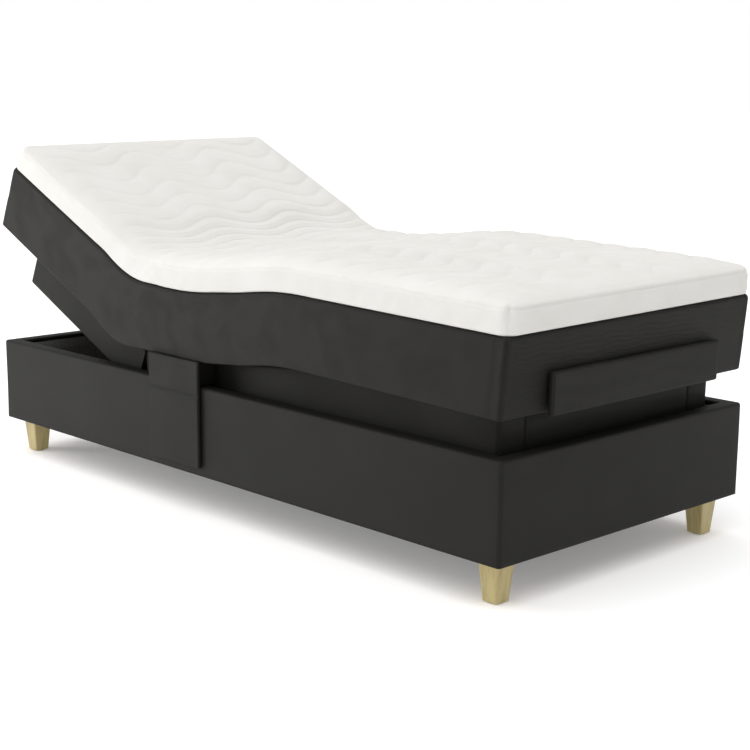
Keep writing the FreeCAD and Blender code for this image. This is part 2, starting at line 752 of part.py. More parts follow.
def base_parts():
    parts = {
        "plinth_side_left": plinth_side(-1.0),
        "plinth_side_right": plinth_side(1.0),
        "plinth_foot_board": plinth_end(FOOT_Y, 1.0),
        "plinth_head_board": plinth_end(HEAD_Y, -1.0),
        "plinth_cover": plinth_cover(),
        "dust_cover": dust_cover(),
        "support_beams": support_beams(),
        "seat_rails": both_sides(seat_rail),
        "seat_deck": seat_deck(),
        "seat_spacers": both_sides(seat_spacer),
        "anchor_panels": both_sides(anchor_panel),
        "anchor_covers": both_sides(anchor_cover),
        "bearing_plates": bearing_plates(),
        "tube_bushes": tube_bushes(),
        "drive_housing_lower": drive_housing_lower(),
        "drive_housing_upper": drive_housing_upper(),
        "tube_locks": Part.makeCompound(tube_clamps((PIVOT_Z, LOCK_TOP))),
        "drive_motors": drive_motors(),
        "control_box": control_box(),
        "link_posts": both_sides(link_post),
    }
    places = leg_places()
    for name, (x, y) in places.items():
        parts[name] = tapered_leg(x, y)
    spots = list(places.values())
    parts["corner_blocks"] = Part.makeCompound([corner_block(x, y) for x, y in spots])
    studs = [post(STUD_RADIUS, x, y, (STUD_LOW, STUD_HIGH)) for x, y in spots]
    parts["leg_studs"] = Part.makeCompound(studs)
    glides = [post(GLIDE_RADIUS, x, y, (0, GLIDE_HEIGHT)) for x, y in spots]
    parts["leg_glides"] = Part.makeCompound(glides)
    return parts


def back_parts():
    deck_start = BACK_PIVOT_Y + DECK_GAP
    flat = {
        "back_frame_boards": back_frame_boards(),
        "back_cross_rail": back_cross_rail(),
        "back_deck": section_deck(deck_start, BACK_FRAME_END - FABRIC),
        "back_cover": back_cover(),
        "back_torsion_tube": section_tube(BACK_PIVOT_Y),
        "back_lift_arms": lift_arms(BACK_PIVOT_Y, 1.0),
    }
    return {name: back_pose(shape) for name, shape in flat.items()}


def thigh_parts():
    flat = {
        "thigh_frame_boards": thigh_frame_boards(),
        "thigh_deck": section_deck(KNEE_Y + KNEE_TOP_GAP, THIGH_PIVOT_Y - DECK_GAP),
        "thigh_cover": thigh_cover(),
        "thigh_torsion_tube": section_tube(THIGH_PIVOT_Y),
        "thigh_lift_arms": lift_arms(THIGH_PIVOT_Y, -1.0),
        "knee_leaves_thigh": both_sides(thigh_leaf),
    }
    return {name: thigh_pose(shape) for name, shape in flat.items()}


def leg_parts():
    cover = section_cover(KNEE_Y, LEG_FRAME_END, FABRIC, FRAME_BOARD)
    flat = {
        "leg_frame_boards": leg_frame_boards(),
        "leg_deck": section_deck(LEG_FRAME_END + FABRIC, KNEE_Y - KNEE_TOP_GAP),
        "leg_cover": cover.cut(knee_wedge()),
        "knee_leaves_leg": both_sides(leg_leaf),
        "knee_pins": both_sides(knee_pin),
        "link_brackets": both_sides(link_bracket),
        "retainer_brackets": both_sides(retainer_bracket),
        "retainer_pad": retainer_pad(),
    }
    return {name: leg_pose(shape) for name, shape in flat.items()}


def drive_parts():
    middle = (BACK_PIVOT_Y + THIGH_PIVOT_Y) / 2.0
    ends = housing_ends()
    return {
        "back_drive_nut": back_nut(),
        "thigh_drive_nut": thigh_nut(),
        "back_spindle": spindle(middle + WHEEL_GAP, ends[1] - 2.0 * HOUSING_WALL),
        "thigh_spindle": spindle(middle - WHEEL_GAP, ends[0] + 2.0 * HOUSING_WALL),
        "leg_links": both_sides(leg_link),
    }


def main():
    os.makedirs("parts", exist_ok=True)
    groups = [base_parts(), back_parts(), thigh_parts(), leg_parts(), drive_parts(), soft_pieces()]
    for group in groups:
        for name, shape in group.items():
            shape.exportStep("parts/" + name + ".step")


main()
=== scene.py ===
import json
import math

import bpy
import numpy as np
from mathutils import Matrix, Vector


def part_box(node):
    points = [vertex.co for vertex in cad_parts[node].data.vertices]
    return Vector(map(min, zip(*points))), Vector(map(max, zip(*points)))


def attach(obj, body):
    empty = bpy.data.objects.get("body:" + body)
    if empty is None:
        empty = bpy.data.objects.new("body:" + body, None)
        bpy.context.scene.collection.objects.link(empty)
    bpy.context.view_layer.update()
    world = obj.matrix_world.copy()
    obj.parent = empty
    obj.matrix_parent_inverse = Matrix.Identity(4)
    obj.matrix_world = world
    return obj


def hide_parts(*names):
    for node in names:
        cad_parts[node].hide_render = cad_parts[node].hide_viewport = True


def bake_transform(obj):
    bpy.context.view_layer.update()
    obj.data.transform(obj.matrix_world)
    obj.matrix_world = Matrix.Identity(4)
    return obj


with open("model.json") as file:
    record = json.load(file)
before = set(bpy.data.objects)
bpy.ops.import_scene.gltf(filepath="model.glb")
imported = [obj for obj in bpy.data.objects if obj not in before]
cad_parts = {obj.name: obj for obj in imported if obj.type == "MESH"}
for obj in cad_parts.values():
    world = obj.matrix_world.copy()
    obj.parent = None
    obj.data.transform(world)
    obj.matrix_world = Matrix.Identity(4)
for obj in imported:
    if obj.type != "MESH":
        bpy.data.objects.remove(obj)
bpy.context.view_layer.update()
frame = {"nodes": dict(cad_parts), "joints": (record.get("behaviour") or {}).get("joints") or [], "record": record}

# The bed's main sizes, in metres, all read from the frame or from the joints.
JOINTS = {joint["name"]: joint for joint in frame["joints"]}
BACK_PIVOT = np.array(JOINTS["back_hinge"]["pos_m"])
THIGH_PIVOT = np.array(JOINTS["thigh_hinge"]["pos_m"])
KNEE_REST_PIVOT = np.array(JOINTS["knee_hinge"]["pos_m"])
BACK_ANGLE = -math.radians(JOINTS["back_hinge"]["range_deg"][0])
THIGH_ANGLE = -math.radians(JOINTS["thigh_hinge"]["range_deg"][0])
# The stored pose's turns in degrees, whose ratio couples the knees to the thighs
THIGH_TURN = 5.5
KNEE_TURN = 6.9
KNEE_ANGLE = THIGH_ANGLE * KNEE_TURN / THIGH_TURN
SLIP = -JOINTS["back_mattress_slip"]["range_m"][0]
BACK_ALONG = np.array([0.0, math.cos(BACK_ANGLE), math.sin(BACK_ANGLE)])
KNEE_REACH = float(np.linalg.norm(KNEE_REST_PIVOT - THIGH_PIVOT))
KNEE_FLAT_PIVOT = THIGH_PIVOT - np.array([0.0, KNEE_REACH, 0.0])

PLINTH_LOW, PLINTH_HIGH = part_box("plinth_cover")
SEAT_LOW, SEAT_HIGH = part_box("mattress_seat")
TOPPER_LOW, TOPPER_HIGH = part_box("topper_seat")
HALF_WIDTH = PLINTH_HIGH.x
FOOT_Y = PLINTH_LOW.y
HEAD_Y = PLINTH_HIGH.y
MATTRESS_Z = (SEAT_LOW.z, SEAT_HIGH.z)
TOPPER_Z = (TOPPER_LOW.z, TOPPER_HIGH.z)
FRAME_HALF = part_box("back_cover")[1].x
# The frames' skirts, from below the boards to just under the mattress
BOARD_BELOW_PIVOT = 0.113
UNDER_MATTRESS = 0.005
FRAME_Z = (THIGH_PIVOT[2] - BOARD_BELOW_PIVOT, SEAT_LOW.z - UNDER_MATTRESS)

# Radii of the lower edge, the upper edge and the plan corners
MATTRESS_ROUND = (0.006, 0.012, 0.014)
TOPPER_ROUND = (0.006, 0.020, 0.034)

# How far the mattress and the topper pass the plinth's head end while flat
PROUD = 0.014

# The front end of a skirt stays within this reach of its pivot, so that it turns clear of the seat
NOSE_REACH = 0.0215

# Upholstery: the thickness of cloth and padding, and the plan radii of the corners
CLOTH = 0.0036
SKIRT_CORNER = 0.012
PLINTH_CORNER = 0.010

# Strength of the even light from all round
AMBIENT = 0.53


def leaning(middle, lean, length):
    """A bend zone: two points whose line leans from level, centred on the mattress's underside."""
    along = np.array([0.0, math.cos(lean), math.sin(lean)])
    centre = np.array([0.0, middle, MATTRESS_Z[0]])
    return centre - along * length / 2.0, centre + along * length / 2.0


# Where the soft pieces bend in the stored pose (middle, lean and length), and where they are cut while flat.
# The head end slips along the back between the two reaches of SLIP_STRETCH.
BACK_BEND = leaning(0.4462, 0.3878, 0.2618)
THIGH_BEND = leaning(0.0639, -0.0377, 0.2198)[::-1]
KNEE_BEND = leaning(-0.2459, 0.0, 0.3056)[::-1]
SKIRT_BEND = leaning(-0.3225, 0.0, 0.1450)[::-1]
SEAT_SPLIT = 0.1865
THIGH_SPLIT = -0.068
BACK_SPLIT = 0.700
SLIP_STRETCH = (0.32, 0.62)
SETTLE_STEPS = 40


# ---------------------------------------------------------------- shaping

def smooth(t):
    t = np.clip(t, 0.0, 1.0)
    return t * t * (3.0 - 2.0 * t)


def turn(points, pivot, angles):
    """Turns points about an X axis through a pivot; angles may differ from point to point."""
    y = points[:, 1] - pivot[1]
    z = points[:, 2] - pivot[2]
    c = np.cos(angles)
    s = np.sin(angles)
    out = points.copy()
    out[:, 1] = pivot[1] + y * c - z * s
    out[:, 2] = pivot[2] + y * s + z * c
    return out


def settle(points, place):
    """The stored place of points whose move depends on where they end up."""
    now = points.copy()
    for _ in range(SETTLE_STEPS):
        now = 0.5 * now + 0.5 * place(now)
    return now


def bent(points, pivot, angle, zone):
    """Bends flat points about a pivot; the bend comes in across a zone."""
    start, end = zone
    span = end - start

    def place(now):
        weight = smooth((now - start) @ span / (span @ span))
        return turn(points, pivot, weight * angle)

    return settle(points, place)


def slipped(points):
    """Slides the head end of the mattress up along the raised back."""
    def place(now):
        reach = (now - BACK_PIVOT) @ BACK_ALONG
        weight = smooth((reach - SLIP_STRETCH[0]) / (SLIP_STRETCH[1] - SLIP_STRETCH[0]))
        return points + weight[:, None] * SLIP * BACK_ALONG

    return settle(points, place)


def pose_fold_back(points):
    return bent(points, BACK_PIVOT, BACK_ANGLE, BACK_BEND)


def pose_head(points):
    return slipped(turn(points, BACK_PIVOT, np.full(len(points), BACK_ANGLE)))


def pose_fold_thigh(points):
    return bent(points, THIGH_PIVOT, -THIGH_ANGLE, THIGH_BEND)


def pose_leg(points, zone=KNEE_BEND):
    raised = turn(points, THIGH_PIVOT, np.full(len(points), -THIGH_ANGLE))
    return bent(raised, KNEE_REST_PIVOT, KNEE_ANGLE, zone)


def noise_at(points, scale, seed=0.0):
    """A smooth wandering value from -1 to 1 made of crossed waves."""
    x, y, z = (points * scale + seed).T
    value = np.sin(x * 1.7 + 1.3 * np.sin(y * 0.9 + 0.4))
    value += np.sin(y * 1.9 + 1.1 * np.sin(z * 1.3 + x * 0.5 + 1.7))
    value += np.sin(z * 2.1 + 1.2 * np.sin(x * 1.1 + y * 0.3 + 2.9))
    return value / 3.0


def bell(distance, width):
    """A rounded peak, 1 in the middle and close to 0 from two widths away."""
    return np.exp(-((distance / width) ** 2))


# ---------------------------------------------------------------- meshes

def spaced(low, high, step, low_radius, high_radius):
    """Grid lines between two limits, with extra lines where the edges are round."""
    turns = [1.0 - math.tan(math.radians(a)) for a in (45.0, 36.0, 27.0, 18.0, 9.0)]
    count = max(2, int(round((high - low - low_radius - high_radius) / step)))
    lines = list(np.linspace(low + low_radius, high - high_radius, count + 1))
    ends = [high - high_radius * t for t in reversed(turns)]
    return [low + low_radius * t for t in turns] + lines + ends


def block_lines(low, high, step, radius):
    """Lattice lines for a block; radius holds the lower edge's, the upper edge's and the plan corner's."""
    wide = max(radius[0], radius[1])
    sides = [spaced(low[n], high[n], step[n], wide, wide) for n in (0, 1)]
    return sides + [spaced(low[2], high[2], step[2], radius[0], radius[1])]


def with_lines(lines, extra):
    """Moves the nearest grid lines onto the given places."""
    out = list(lines)
    for place in extra:
        nearest = min(range(len(out)), key=lambda i: abs(out[i] - place))
        out[nearest] = place
    return out


def block_faces(size, rows):
    """Quads, as lattice places, round the block of rows[0]..rows[1] along Y, and which are cut faces."""
    last = (size[0] - 1, size[1] - 1, size[2] - 1)
    quads = []
    for j in range(rows[0], rows[1]):
        for k in range(last[2]):
            for i, turned in ((0, False), (last[0], True)):
                quad = [(i, j, k), (i, j, k + 1), (i, j + 1, k + 1), (i, j + 1, k)]
                quads.append(quad[::-1] if turned else quad)
        for i in range(last[0]):
            for k, turned in ((0, False), (last[2], True)):
                quad = [(i, j, k), (i, j + 1, k), (i + 1, j + 1, k), (i + 1, j, k)]
                quads.append(quad[::-1] if turned else quad)
    sides = len(quads)
    ends = []
    for j, turned in ((rows[0], False), (rows[1], True)):
        for i in range(last[0]):
            for k in range(last[2]):
                quad = [(i, j, k), (i + 1, j, k), (i + 1, j, k + 1), (i, j, k + 1)]
                ends.append(quad[::-1] if turned else quad)
    outside = [quad[0][1] in (0, last[1]) for quad in ends]
    return quads + ends, [False] * sides + [not out for out in outside]


def rounded(points, low, high, radius):
    """Pulls lattice points onto a round-edged block whose lower and upper edges may differ.
    Returns the points and outward directions."""
    low = np.array(low)
    high = np.array(high)
    sizes = np.full(points.shape, radius[1])
    sizes[points[:, 2] < (low[2] + high[2]) / 2.0] = radius[0]
    core = np.clip(points, low + sizes, high - sizes)
    away = (points - core) / sizes
    length = np.linalg.norm(away, axis=1)
    reach = np.abs(away).max(axis=1)
    direction = away / np.maximum(length, 1e-9)[:, None] * reach[:, None]
    out = core + direction * sizes
    core = np.clip(out, low + radius[2], high - radius[2])
    away = (out - core)[:, :2]
    length = np.linalg.norm(away, axis=1)
    reach = np.abs(away).max(axis=1)
    out[:, :2] = core[:, :2] + away * (reach / np.maximum(length, 1e-9))[:, None]
    return out, direction


def lattice_points(places, lines):
    return np.array([[lines[0][i], lines[1][j], lines[2][k]] for i, j, k in places])


def indexed(quads):
    """Numbers the lattice places that a list of quads uses."""
    places = sorted({corner for quad in quads for corner in quad})
    number = {place: index for index, place in enumerate(places)}
    return places, [[number[corner] for corner in quad] for quad in quads]


def vertex_normals(points, faces):
    faces = np.array(faces)
    across = points[faces[:, 2]] - points[faces[:, 0]]
    down = points[faces[:, 3]] - points[faces[:, 1]]
    normal = np.cross(across, down)
    total = np.zeros_like(points)
    for corner in range(4):
        np.add.at(total, faces[:, corner], normal)
    return total / np.maximum(np.linalg.norm(total, axis=1), 1e-12)[:, None]


def make_object(name, points, faces, material):
    mesh = bpy.data.meshes.new(name)
    mesh.from_pydata([tuple(p) for p in points], [], [tuple(f) for f in faces])
    mesh.materials.append(material)
    mesh.update()
    for polygon in mesh.polygons:
        polygon.use_smooth = True
    piece = bpy.data.objects.new(name, mesh)
    bpy.context.scene.collection.objects.link(piece)
    return piece


def rounded_block(low, high, step, radius):
    """A closed block with round edges. Returns points, outward directions and quads."""
    radius = (radius, radius, radius)
    lines = block_lines(low, high, step, radius)
    size = [len(line) for line in lines]
    quads, _ = block_faces(size, (0, size[1] - 1))
    places, faces = indexed(quads)
    points, outward = rounded(lattice_points(places, lines), low, high, radius)
    return points, outward, faces


def corner_path(half_x, y_low, y_high, inset, radius, closed, marks):
    """Plan outline at an inset from the outer face: a closed ring, or a U that is open at its high end.
    Marks are extra places across the low end."""
    side = 60
    r = max(radius - inset, 0.002)
    x = half_x - inset
    low = y_low + inset
    high = y_high - inset if closed else y_high
    even = np.linspace(0.0, 1.0, side, endpoint=False)
    leaving = even if closed else even ** 1.5
    arriving = even if closed else 1.0 - (1.0 - even) ** 1.5
    across = sorted(set(np.linspace(-1.0, 1.0, side // 2)) | {mark / (x - r) for mark in marks})
    path = []

    def line(start, end, steps):
        for t in steps:
            path.append((start[0] + (end[0] - start[0]) * t, start[1] + (end[1] - start[1]) * t))

    def bend(cx, cy, start):
        for a in np.radians(np.linspace(0.0, 90.0, 7))[1:-1]:
            path.append((cx + r * math.cos(start + a), cy + r * math.sin(start + a)))

    line((-x, high - r if closed else high), (-x, low + r), leaving)
    path.append((-x, low + r))
    bend(-x + r, low + r, math.pi)
    path.extend(((x - r) * t, low) for t in across)
    bend(x - r, low + r, 1.5 * math.pi)
    line((x, low + r), (x, high - r if closed else high), arriving)
    if closed:
        path.append((x, high - r))
        bend(x - r, high - r, 0.0)
        path.extend(((x - r) * t, high) for t in reversed(across))
        bend(-x + r, high - r, 0.5 * math.pi)
    else:
        path.append((x, high))
    return path


def swept_wall(profile, half_x, y_low, y_high, radius, closed, marks=()):
    """A wall made by carrying a profile of (inset, z) points round a plan outline."""
    loops = [corner_path(half_x, y_low, y_high, inset, radius, closed, marks) for inset, _ in profile]
    count = len(loops[0])
    rows = len(profile)
    points = []
    for (_, z), loop in zip(profile, loops):
        points.extend((x, y, z) for x, y in loop)
    faces = []
    steps = count if closed else count - 1
    for row in range(rows):
        below = (row + 1) % rows
        for i in range(steps):
            j = (i + 1) % count
            faces.append((row * count + i, row * count + j, below * count + j, below * count + i))
    if not closed:
        faces.append([row * count for row in range(rows)])
        faces.append([row * count + count - 1 for row in reversed(range(rows))])
    return np.array(points), faces


def arc_points(centre, radius, start, end, count=5):
    angles = np.radians(np.linspace(start, end, count))
    return [(centre[0] + radius * math.cos(a), centre[1] + radius * math.sin(a)) for a in angles]


# ---------------------------------------------------------------- materials

class Nodes:
    """Small helper that builds one procedural material."""

    def __init__(self, name, roughness, metallic=0.0):
        self.material = bpy.data.materials.new(name)
        self.material.use_nodes = True
        self.tree = self.material.node_tree
        self.shader = self.tree.nodes["Principled BSDF"]
        self.shader.inputs["Roughness"].default_value = roughness
        self.shader.inputs["Metallic"].default_value = metallic
        self.place = self.tree.nodes.new("ShaderNodeTexCoord").outputs["Object"]

    def add(self, kind, **values):
        node = self.tree.nodes.new(kind)
        for key, value in values.items():
            if key in node.inputs:
                node.inputs[key].default_value = value
            else:
                setattr(node, key, value)
        return node

    def link(self, source, target):
        self.tree.links.new(source, target)

    def scaled(self, scale):
        node = self.add("ShaderNodeMapping")
        node.inputs["Scale"].default_value = scale
        self.link(self.place, node.inputs["Vector"])
        return node.outputs["Vector"]

    def noise(self, scale, detail=3.0, rough=0.55, stretch=(1.0, 1.0, 1.0)):
        node = self.add("ShaderNodeTexNoise", Scale=scale, Detail=detail, Roughness=rough)
        self.link(self.scaled(stretch), node.inputs["Vector"])
        return node.outputs["Fac"]

    def wave(self, scale, direction, distortion=0.0):
        node = self.add("ShaderNodeTexWave", Scale=scale, Distortion=distortion)
        node.wave_type = "BANDS"
        node.bands_direction = direction
        self.link(self.place, node.inputs["Vector"])
        return node.outputs["Fac"]

    def math(self, operation, a, b):
        node = self.add("ShaderNodeMath", operation=operation)
        for socket, value in zip(node.inputs, (a, b)):
            if isinstance(value, float):
                socket.default_value = value
            else:
                self.link(value, socket)
        return node.outputs[0]

    def ramp(self, factor, stops):
        node = self.add("ShaderNodeValToRGB")
        elements = node.color_ramp.elements
        while len(elements) < len(stops):
            elements.new(0.5)
        for element, (position, colour) in zip(elements, stops):
            element.position = position
            element.color = (*colour, 1.0)
        self.link(factor, node.inputs["Fac"])
        return node.outputs["Color"]

    def colour(self, source):
        self.link(source, self.shader.inputs["Base Color"])

    def roughness(self, factor, low, high):
        node = self.add("ShaderNodeMapRange")
        node.inputs["To Min"].default_value = low
        node.inputs["To Max"].default_value = high
        self.link(factor, node.inputs["Value"])
        self.link(node.outputs["Result"], self.shader.inputs["Roughness"])

    def bump(self, *layers):
        """Stacks (height, strength, distance) layers."""
        normal = None
        for height, strength, distance in layers:
            node = self.add("ShaderNodeBump", Strength=strength, Distance=distance)
            self.link(height, node.inputs["Height"])
            if normal is not None:
                self.link(normal, node.inputs["Normal"])
            normal = node.outputs["Normal"]
        self.link(normal, self.shader.inputs["Normal"])


def weave(nodes, thread):
    """Crossed yarns of a plain weave, about one thread pitch in size."""
    scale = 1.0 / thread / 3.2
    across = nodes.wave(scale, "X", 1.2)
    along = nodes.wave(scale, "Y", 1.2)
    up = nodes.wave(scale, "Z", 1.2)
    return nodes.math("ADD", nodes.math("MULTIPLY", across, up), nodes.math("MULTIPLY", along, up))


def scaled_colour(colour, amount):
    return tuple(channel * amount for channel in colour)


def woven_fabric(name, colour, thread=0.0013):
    nodes = Nodes(name, 0.55)
    yarn = weave(nodes, thread)
    fleck = nodes.noise(900.0, 2.0)
    cloud = nodes.noise(7.0, 4.0)
    tone = nodes.math("ADD", nodes.math("MULTIPLY", fleck, 0.75), nodes.math("MULTIPLY", cloud, 0.25))
    stops = [(0.36, scaled_colour(colour, 0.72)), (0.5, colour), (0.64, scaled_colour(colour, 1.32))]
    nodes.colour(nodes.ramp(tone, stops))
    nodes.roughness(fleck, 0.48, 0.62)
    nodes.bump((nodes.noise(35.0, 3.0), 0.1, 0.0008), (yarn, 0.5, 0.0004), (fleck, 0.3, 0.0002))
    nodes.shader.inputs["Specular IOR Level"].default_value = 0.17
    nodes.shader.inputs["Specular Tint"].default_value = (1.0, 0.97, 0.90, 1.0)
    return nodes.material


def knit_fabric(name, colour):
    nodes = Nodes(name, 0.88)
    loops = weave(nodes, 0.0011)
    fleck = nodes.noise(1100.0, 2.0)
    cloud = nodes.noise(9.0, 3.0)
    tone = nodes.math("ADD", nodes.math("MULTIPLY", fleck, 0.5), nodes.math("MULTIPLY", cloud, 0.5))
    warm = (colour[0], colour[1] * 0.99, colour[2] * 0.965)
    nodes.colour(nodes.ramp(tone, [(0.35, scaled_colour(warm, 0.94)), (0.62, colour)]))
    nodes.roughness(fleck, 0.8, 0.95)
    nodes.bump((nodes.noise(28.0, 4.0), 0.3, 0.002), (loops, 0.4, 0.0004))
    nodes.shader.inputs["Sheen Weight"].default_value = 0.12
    nodes.shader.inputs["Specular IOR Level"].default_value = 0.3
    nodes.shader.inputs["Subsurface Weight"].default_value = 0.04
    nodes.shader.inputs["Subsurface Radius"].default_value = (0.01, 0.01, 0.01)
    return nodes.material


def lacquered_wood(name, colour, grain=(28.0, 28.0, 1.4)):
    nodes = Nodes(name, 0.42)
    rings = nodes.noise(3.2, 5.0, 0.62, grain)
    pores = nodes.noise(16.0, 4.0, 0.7, (grain[0] * 1.6, grain[1] * 1.6, grain[2] * 0.8))
    tone = nodes.math("ADD", nodes.math("MULTIPLY", rings, 0.7), nodes.math("MULTIPLY", pores, 0.3))
    dark = (colour[0] * 0.66, colour[1] * 0.58, colour[2] * 0.5)
    light = (min(1.0, colour[0] * 1.16), colour[1] * 1.17, colour[2] * 1.2)
    nodes.colour(nodes.ramp(tone, [(0.3, dark), (0.5, colour), (0.7, light)]))
    nodes.roughness(pores, 0.36, 0.55)
    nodes.bump((tone, 0.25, 0.0006), (pores, 0.2, 0.0002))
    nodes.shader.inputs["Coat Weight"].default_value = 0.15
    nodes.shader.inputs["Coat Roughness"].default_value = 0.3
    return nodes.material


def coated_metal(name, colour, roughness, metallic):
    nodes = Nodes(name, roughness, metallic)
    speck = nodes.noise(420.0, 3.0)
    wear = nodes.noise(14.0, 5.0, 0.7)
    nodes.colour(nodes.ramp(wear, [(0.38, scaled_colour(colour, 0.8)), (0.66, scaled_colour(colour, 1.25))]))
    nodes.roughness(wear, roughness - 0.08, roughness + 0.12)
    nodes.bump((speck, 0.2, 0.0003))
    return nodes.material


def moulded_plastic(name, colour, roughness=0.5):
    nodes = Nodes(name, roughness)
    grain = nodes.noise(600.0, 2.0)
    cloud = nodes.noise(12.0, 3.0)
    stops = [(0.35, scaled_colour(colour, 0.88)), (0.65, scaled_colour(colour, 1.12))]
    nodes.colour(nodes.ramp(cloud, stops))
    nodes.roughness(grain, roughness - 0.06, roughness + 0.1)
    nodes.bump((grain, 0.25, 0.0002))
    return nodes.material


def fleece(name, colour):
    nodes = Nodes(name, 0.97)
    fibre = nodes.noise(260.0, 6.0, 0.75)
    nodes.colour(nodes.ramp(fibre, [(0.35, scaled_colour(colour, 0.6)), (0.65, scaled_colour(colour, 1.5))]))
    nodes.roughness(fibre, 0.9, 1.0)
    nodes.bump((fibre, 0.5, 0.0006))
    return nodes.material


CHARCOAL = woven_fabric("charcoal_fabric", (0.0096, 0.0094, 0.0084))
MATTRESS_CLOTH = woven_fabric("mattress_fabric", (0.0106, 0.0102, 0.0096), 0.0011)
TOPPER_CLOTH = knit_fabric("topper_fabric", (0.70, 0.69, 0.665))
# A grey cloth, lighter than the charcoal cover, for the dust cloth and the plinth's lining: painted fill light on
# the plinth's shaded inside
GREY_CLOTH_PAINTED_FILL = fleece("dust_cloth", (0.11, 0.11, 0.108))
SLOT_MATERIALS = {
    "charcoal_fabric": CHARCOAL,
    "mattress_fabric": MATTRESS_CLOTH,
    "topper_fabric": TOPPER_CLOTH,
    "light_wood": lacquered_wood("light_wood", (0.43, 0.355, 0.155)),
    "frame_board": lacquered_wood("frame_board", (0.46, 0.33, 0.20), (20.0, 3.0, 20.0)),
    "deck_board": lacquered_wood("deck_board", (0.05, 0.042, 0.036), (20.0, 2.0, 20.0)),
    "dust_cloth": GREY_CLOTH_PAINTED_FILL,
    "black_steel": coated_metal("black_steel", (0.022, 0.022, 0.024), 0.45, 0.3),
    "zinc_steel": coated_metal("zinc_steel", (0.62, 0.62, 0.60), 0.38, 1.0),
    "drive_plastic": moulded_plastic("drive_plastic", (0.035, 0.035, 0.038)),
    "nylon": moulded_plastic("nylon", (0.03, 0.03, 0.032), 0.42),
    "motor_steel": coated_metal("motor_steel", (0.07, 0.07, 0.075), 0.4, 0.6),
    "glide_plastic": moulded_plastic("glide_plastic", (0.2, 0.19, 0.18), 0.7),
}


def dress_cad_nodes():
    """Gives every carried-over node the material of its slot."""
    for subpart in frame["record"]["subparts"]:
        node = frame["nodes"][subpart["node"]]
        material = SLOT_MATERIALS[subpart["material_slot"]]
        node.data.materials.clear()
        node.data.materials.append(material)


# ---------------------------------------------------------------- mattress and topper

PAST_HEAD = 0.1
SECTIONS = (
    # name, flat limits along Y, how it reaches the stored pose, CAD node it stands for
    ("foot", (FOOT_Y, THIGH_SPLIT), pose_leg, "leg"),
    ("thigh_fold", (THIGH_SPLIT, SEAT_SPLIT), pose_fold_thigh, "thigh"),
    ("back_fold", (SEAT_SPLIT, BACK_SPLIT), pose_fold_back, "seat"),
    ("head", (BACK_SPLIT, HEAD_Y + PAST_HEAD), pose_head, "back"),
)
CUTS = (THIGH_SPLIT, SEAT_SPLIT, BACK_SPLIT)
MATTRESS_STEP = (0.014, 0.009, 0.009)
TOPPER_STEP = (0.006, 0.005, 0.007)

# The mattress top: its fall at the foot, its rise to the head and to the far side, and the hollow and the
# roll at the fold, each with its height, its place along Y and its width
FOOT_DROP = -0.0051
HEAD_RISE = 0.0095
SIDE_RISE = 0.0045
HOLLOW, HOLLOW_Y, HOLLOW_WIDTH = 0.0055, 0.1807, 0.107
ROLL, ROLL_Y, ROLL_WIDTH = 0.0095, 0.4205, 0.114

# The lean of the foot end: how far, the height where it is nothing, the height it grows over and its start
LEAN = 0.0065
LEAN_Z = 0.499
LEAN_SPAN = 0.094
LEAN_Y = -0.70

SEAM_WIDTH = 0.0022
SEAM_DEPTH = 0.0015
SIDE_SEAM = 0.030
END_SEAM = 0.024
BACK_SEAM_Y = 0.316


def settling(x, y):
    """How far the mattress top lies from its nominal height: thinner legs, a seat hollow, a fold roll
    and a little more wear along one side."""
    wear = FOOT_DROP + HEAD_RISE * smooth((y - 0.1) / 0.5) + SIDE_RISE * (x / HALF_WIDTH + 1.0)
    return wear - HOLLOW * bell(y - HOLLOW_Y, HOLLOW_WIDTH) + ROLL * bell(y - ROLL_Y, ROLL_WIDTH)


def foot_lean(y, z):
    """The foot end leans out at its top, where the layers have crept over the bend at the knees."""
    return -LEAN * np.clip((z - LEAN_Z) / LEAN_SPAN, -1.0, 1.2) * smooth((LEAN_Y - y) / 0.25)


def shape_mattress(points, outward):
    """A firm block: faint crowns and ripples on its sides, edge seams and a sewn corner."""
    x, y, z = points.T
    low, top = MATTRESS_Z
    upright = 1.0 - np.abs(outward[:, 2])
    push = upright * (0.0008 * noise_at(points, 9.0, 2.0) + 0.0005 * noise_at(points, 31.0, 5.0))
    side = np.abs(outward[:, 0]) > 0.9
    end = np.abs(outward[:, 1]) > 0.9
    seam = bell(y - (FOOT_Y + SIDE_SEAM), SEAM_WIDTH) * side
    seam += bell(np.abs(x) - (HALF_WIDTH - END_SEAM), SEAM_WIDTH) * end * (y < 0.0)
    seam += 0.6 * bell(y - BACK_SEAM_Y, SEAM_WIDTH) * side * smooth((z - top + 0.055) / 0.03)
    push -= SEAM_DEPTH * np.clip(seam, 0.0, 1.0)
    moved = points + outward * push[:, None]
    moved[:, 1] += foot_lean(y, z)
    moved[:, 2] += settling(x, y) * np.clip((z - low) / (top - low), 0.0, 1.0)
    return moved


QUILT_PITCH = (0.090, 0.073)
QUILT_WAVE = 0.285
QUILT_SWING = 0.43
QUILT_START = 0.19
ROW_LENGTH = 0.08
QUILT_RISE = 0.0012
STITCH_DEPTH = 0.0036
STITCH_WIDTH = 0.0050
CREASE_DEPTH = 0.0005
CROWN = 0.020
CROWN_REACH = 0.035
UNSEWN_EDGE = 0.014
SEWN_REACH = 0.06


def quilt_phase(x, y):
    """Counts sewn rows along the bed; rows are wavy across it and closer together on the back."""
    near, far = QUILT_PITCH
    grown = np.where(y < 0.1, 0.0, np.where(y < 0.4, (y - 0.1) ** 2 / 0.6, y - 0.25))
    rows = y / near + (1.0 / far - 1.0 / near) * grown
    return rows + 0.5 - QUILT_SWING * np.sin(2.0 * math.pi * (x + QUILT_START) / QUILT_WAVE)


TOPPER_GAP = 0.0004


